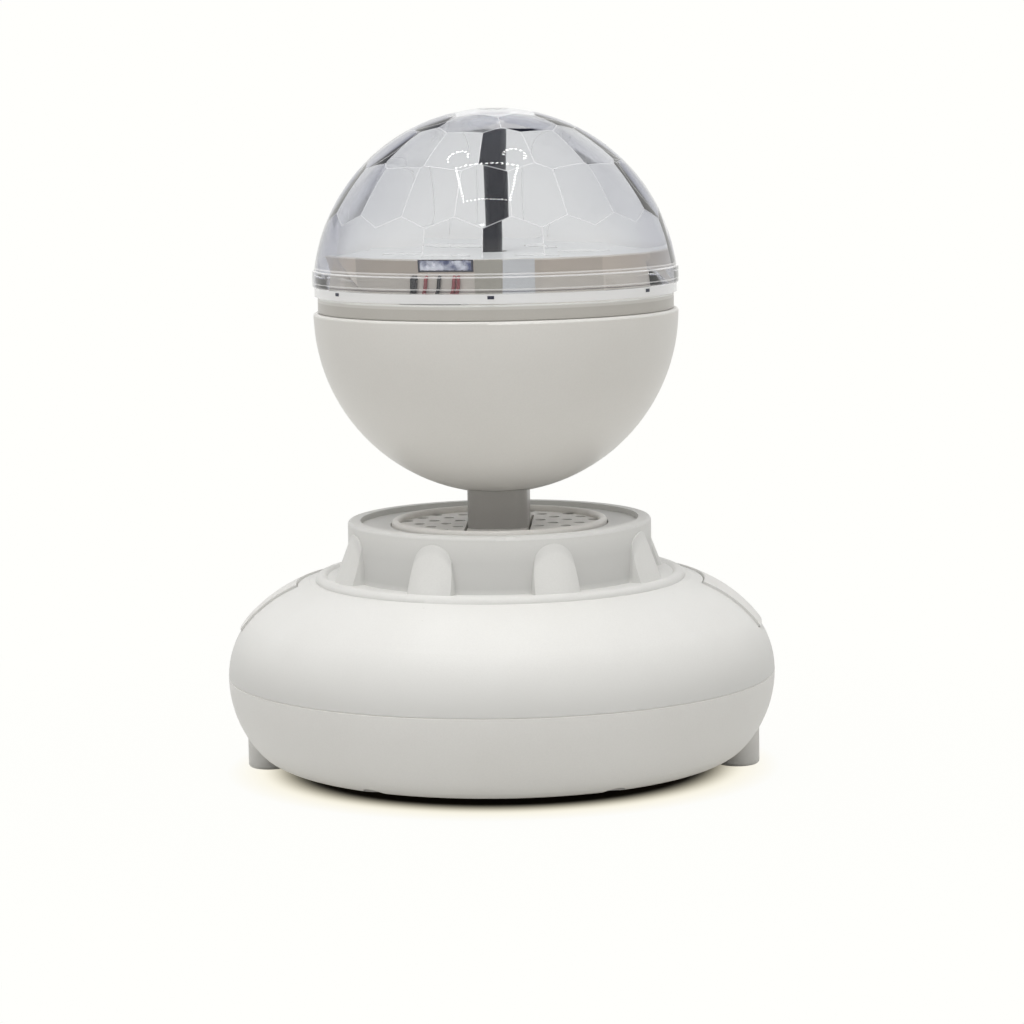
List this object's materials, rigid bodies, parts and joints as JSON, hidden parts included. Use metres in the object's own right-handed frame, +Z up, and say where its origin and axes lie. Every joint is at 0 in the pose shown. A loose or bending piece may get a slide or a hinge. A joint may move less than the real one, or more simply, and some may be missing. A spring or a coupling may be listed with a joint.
{
  "type": "led stage light",
  "caption": "Tabletop crystal ball stage light: clear faceted dome that turns on a motor post, opaque bowl on a short stem, round speaker base with ribs, grille and side buttons.",
  "frame": {"origin": "centre of the base on the floor, under the ball's turning axis", "axes": "+Z up along the turning axis, -Y towards the side that the picture shows, the buttons and sockets on the +Y side"},
  "size_m": [0.121, 0.121, 0.1454],
  "materials": {
    "shell": "fine matt moulded",
    "panel": "fine matt moulded",
    "button": "matt",
    "foot": "matt",
    "rubber": "matt",
    "ring": "satin",
    "grille": "matt",
    "stem": "satin",
    "bowl": "satin moulded",
    "cover": "satin",
    "lamp": "satin",
    "clear": "clear polished plastic",
    "post": "glossy",
    "black_plastic": "matt",
    "red_lead": "glossy",
    "gear": "natural",
    "steel": "plated",
    "magnet": "sintered",
    "cone": "matt pressed",
    "copper": "enamelled wire",
    "cell": "shrink sleeve",
    "board": "solder mask",
    "chip": "moulded",
    "led": "phosphor"
  },
  "bodies": {
    "base": {"upper_shell": "shell", "lower_shell": "shell", "side_feet": "foot", "foot_ring": "rubber", "control_panel": "panel", "tact_switches": "black_plastic", "button_carrier": "shell", "main_board": "board", "board_parts": "chip", "inner_screws": "steel", "power_socket": "steel", "card_socket": "steel", "power_switch": "steel", "battery_cell": "cell", "battery_cradle": "shell", "case_screws": "steel", "speaker_ring": "ring", "speaker_grille": "grille", "stem_bridge": "grille", "speaker_spacer": "shell", "speaker_frame": "steel", "speaker_magnet": "magnet", "speaker_yoke": "steel", "speaker_surround": "rubber", "stem_tube": "stem", "stem_nut": "steel", "bowl_shell": "bowl", "bowl_cover": "cover", "ball_screws": "steel", "lamp_housing": "lamp", "led_board": "board", "leds": "led", "led_lenses": "clear", "black_lead": "black_plastic", "red_lead": "red_lead", "gearbox_base": "gear", "gearbox_cover": "gear", "idler_pin": "steel", "motor_can": "steel", "ball_lead": "black_plastic"},
    "dome": {"crystal_dome": "clear", "dome_ring": "clear", "apex_cap": "clear", "apex_screw": "steel", "drive_post": "post", "output_shaft": "steel", "output_gear": "gear"},
    "first_wheel": {"first_gear": "gear"},
    "second_wheel": {"second_gear": "gear"},
    "rotor": {"motor_shaft": "steel", "motor_pinion": "gear"},
    "power_knob": {"switch_knob": "black_plastic"},
    "cone": {"speaker_cone": "cone", "voice_coil": "copper"},
    "button_1": {"push_button_1": "button"},
    "button_2": {"push_button_2": "button"},
    "button_3": {"push_button_3": "button"},
    "button_4": {"push_button_4": "button"},
    "button_5": {"push_button_5": "button"}
  },
  "joints": [
    {"name": "dome_spin", "type": "hinge", "parent": "base", "child": "dome", "pos_m": [0, 0, 0.1], "axis": [0, 0, 1], "continuous": true},
    {"name": "first_wheel_spin", "type": "hinge", "parent": "base", "child": "first_wheel", "pos_m": [0, 0, 0.092], "axis": [0, 0, 1], "continuous": true},
    {"name": "second_wheel_spin", "type": "hinge", "parent": "base", "child": "second_wheel", "pos_m": [-0.0125, 0, 0.095], "axis": [0, 0, 1], "continuous": true},
    {"name": "rotor_spin", "type": "hinge", "parent": "base", "child": "rotor", "pos_m": [-0.0125, 0, 0.09], "axis": [0, 0, 1], "continuous": true},
    {"name": "power_slide", "type": "slide", "parent": "base", "child": "power_knob", "axis": [1, 0, 0], "range_m": [0, 0.0025]},
    {"name": "cone_stroke", "type": "slide", "parent": "base", "child": "cone", "axis": [0, 0, 1], "range_m": [-0.0005, 0.0005], "stiffness_N_per_m": 1000},
    {"name": "press_1", "type": "slide", "parent": "base", "child": "button_1", "axis": [0.2488, -0.4679, -0.848], "range_m": [0, 0.0004], "stiffness_N_per_m": 400},
    {"name": "press_2", "type": "slide", "parent": "base", "child": "button_2", "axis": [0.1282, -0.5142, -0.848], "range_m": [0, 0.0004], "stiffness_N_per_m": 400},
    {"name": "press_3", "type": "slide", "parent": "base", "child": "button_3", "axis": [0, -0.5299, -0.848], "range_m": [0, 0.0004], "stiffness_N_per_m": 400},
    {"name": "press_4", "type": "slide", "parent": "base", "child": "button_4", "axis": [-0.1282, -0.5142, -0.848], "range_m": [0, 0.0004], "stiffness_N_per_m": 400},
    {"name": "press_5", "type": "slide", "parent": "base", "child": "button_5", "axis": [-0.2488, -0.4679, -0.848], "range_m": [0, 0.0004], "stiffness_N_per_m": 400}
  ],
  "couplings": [
    {"joint": "first_wheel_spin", "follows": "dome_spin", "ratio": 16},
    {"joint": "second_wheel_spin", "follows": "dome_spin", "ratio": -4},
    {"joint": "rotor_spin", "follows": "dome_spin", "ratio": -64}
  ]
}
